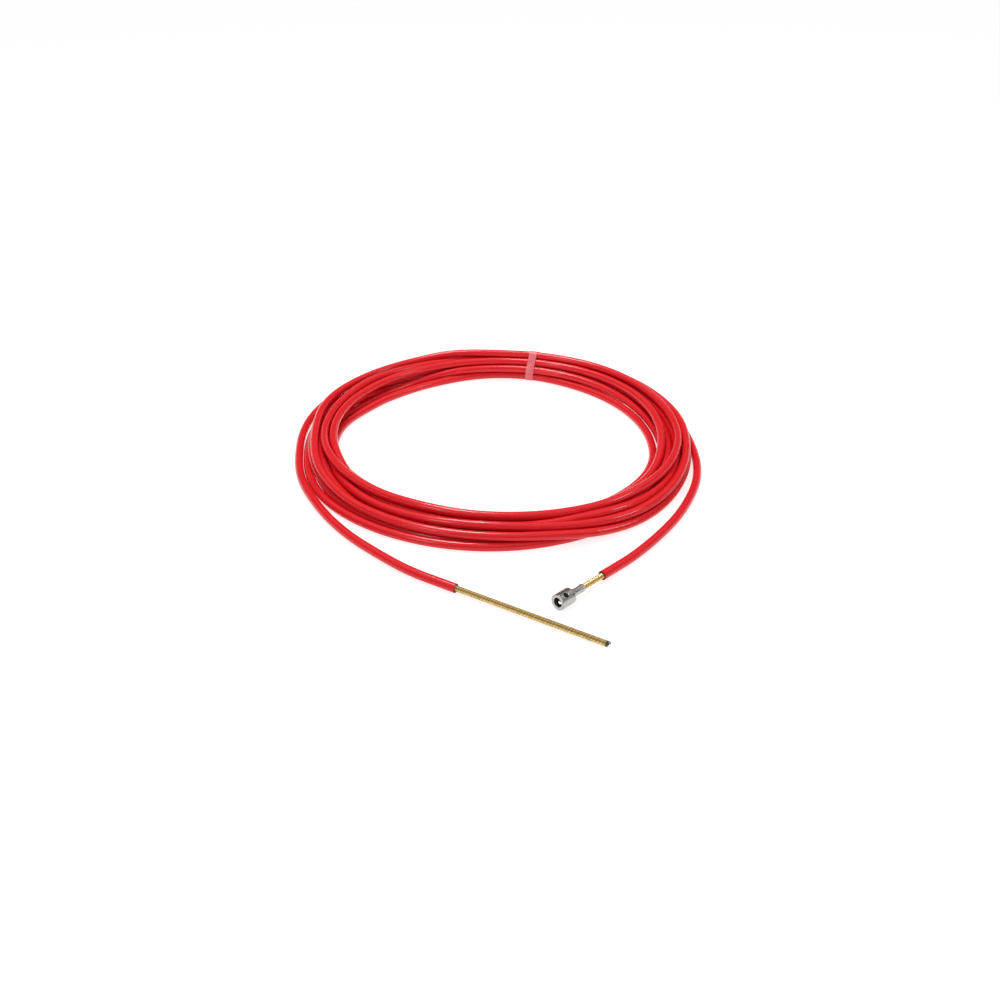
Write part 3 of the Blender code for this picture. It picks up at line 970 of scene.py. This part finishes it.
# The second finish darkens the bore and the cross hole: painted shade.
coupler.data.materials.append(burn_and_shade_steel)
unplaced = input_mouth.inverted()
for face in coupler.data.polygons:
    at = unplaced @ face.center
    in_bore = hypot(at.x, at.y) < BARREL_BORE_R + INSIDE and at.z > shoulder
    in_hole = hypot(at.y, at.z - face_at + CROSS_HOLE_FROM_FACE) < CROSS_HOLE_R + INSIDE
    if in_bore or in_hole:
        face.material_index = 1
turned_at = coupler.data.attributes.new("from_face", "FLOAT_VECTOR", "POINT")
turned_at.data.foreach_set("vector", np.array(local).ravel())
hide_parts("drive_coupler")

# %% [markdown]
# ## Floor and light
#
# The object lies on a plain pale floor that glows a little, as a lit sheet of white acrylic does,
# so its shadows are faint. It is staged, which means that it isn't part of the object.

# %% The floor
FLOOR_HALF = 12

floor_mesh = bmesh.new()
bmesh.ops.create_grid(floor_mesh, x_segments=1, y_segments=1, size=FLOOR_HALF)
floor_data = bpy.data.meshes.new("floor")
floor_mesh.to_mesh(floor_data)
floor_mesh.free()
floor = bpy.data.objects.new("floor", floor_data)
pale, _, _ = new_finish("pale_floor", (0.38, 0.38, 0.38), 0.9, Emission_Strength=0.76)
floor_data.materials.append(pale)
bpy.context.collection.objects.link(floor)
print("floor reaches", FLOOR_HALF, "m each way")

# %% [markdown]
# A broad soft light stands above and behind the coil, and two weaker ones fill from the front left
# and from the right. Round lamps as wide as half a metre leave no hard edge on any shadow.


# %% Three soft lights
def soft_light(name, position, size, power):
    data = bpy.data.lights.new(name, "AREA")
    data.shape = "DISK"
    data.size = size
    data.energy = power
    lamp = bpy.data.objects.new(name, data)
    lamp.location = position
    lamp.rotation_euler = (Vector((0, 0, 0)) - lamp.location).to_track_quat("-Z", "Y").to_euler()
    bpy.context.collection.objects.link(lamp)


soft_light("overhead", (-0.35, 0.55, 1.9), 0.55, 22)
soft_light("front_fill", (-1.3, -1.5, 1.2), 0.6, 6)
soft_light("right_fill", (1.5, -0.4, 1.0), 0.5, 5)
print(len(bpy.data.lights), "lights")

# %% [markdown]
# The world is pale low down and overhead, with a darker band between. Bright steel and a glossy
# sheath look flat where all round them is pale, and the band gives them a dark edge to reflect.

# %% The world, in bands from low to high
world = bpy.data.worlds.new("studio")
world.use_nodes = True
tree = world.node_tree
sky = tree.nodes["Background"]
sky.inputs["Strength"].default_value = 0.85
looking = add_node(tree, "ShaderNodeTexCoord")
parts = add_node(tree, "ShaderNodeSeparateXYZ")
tree.links.new(looking.outputs["Generated"], parts.inputs[0])
bands = add_node(tree, "ShaderNodeValToRGB")
ramp = bands.color_ramp.elements
ramp[0].position, ramp[0].color = 0.22, (0.80, 0.80, 0.80, 1)
ramp[1].position, ramp[1].color = 1.0, (0.90, 0.90, 0.90, 1)
for height, level in ((0.30, 0.10), (0.50, 0.10), (0.72, 0.90)):
    ramp.new(height).color = (level, level, level, 1)
tree.links.new(parts.outputs["Z"], bands.inputs["Fac"])
tree.links.new(bands.outputs["Color"], sky.inputs["Color"])
bpy.context.scene.world = world
bpy.context.scene.view_settings.view_transform = "Standard"
print("bands start at", [round(element.position, 2) for element in ramp])
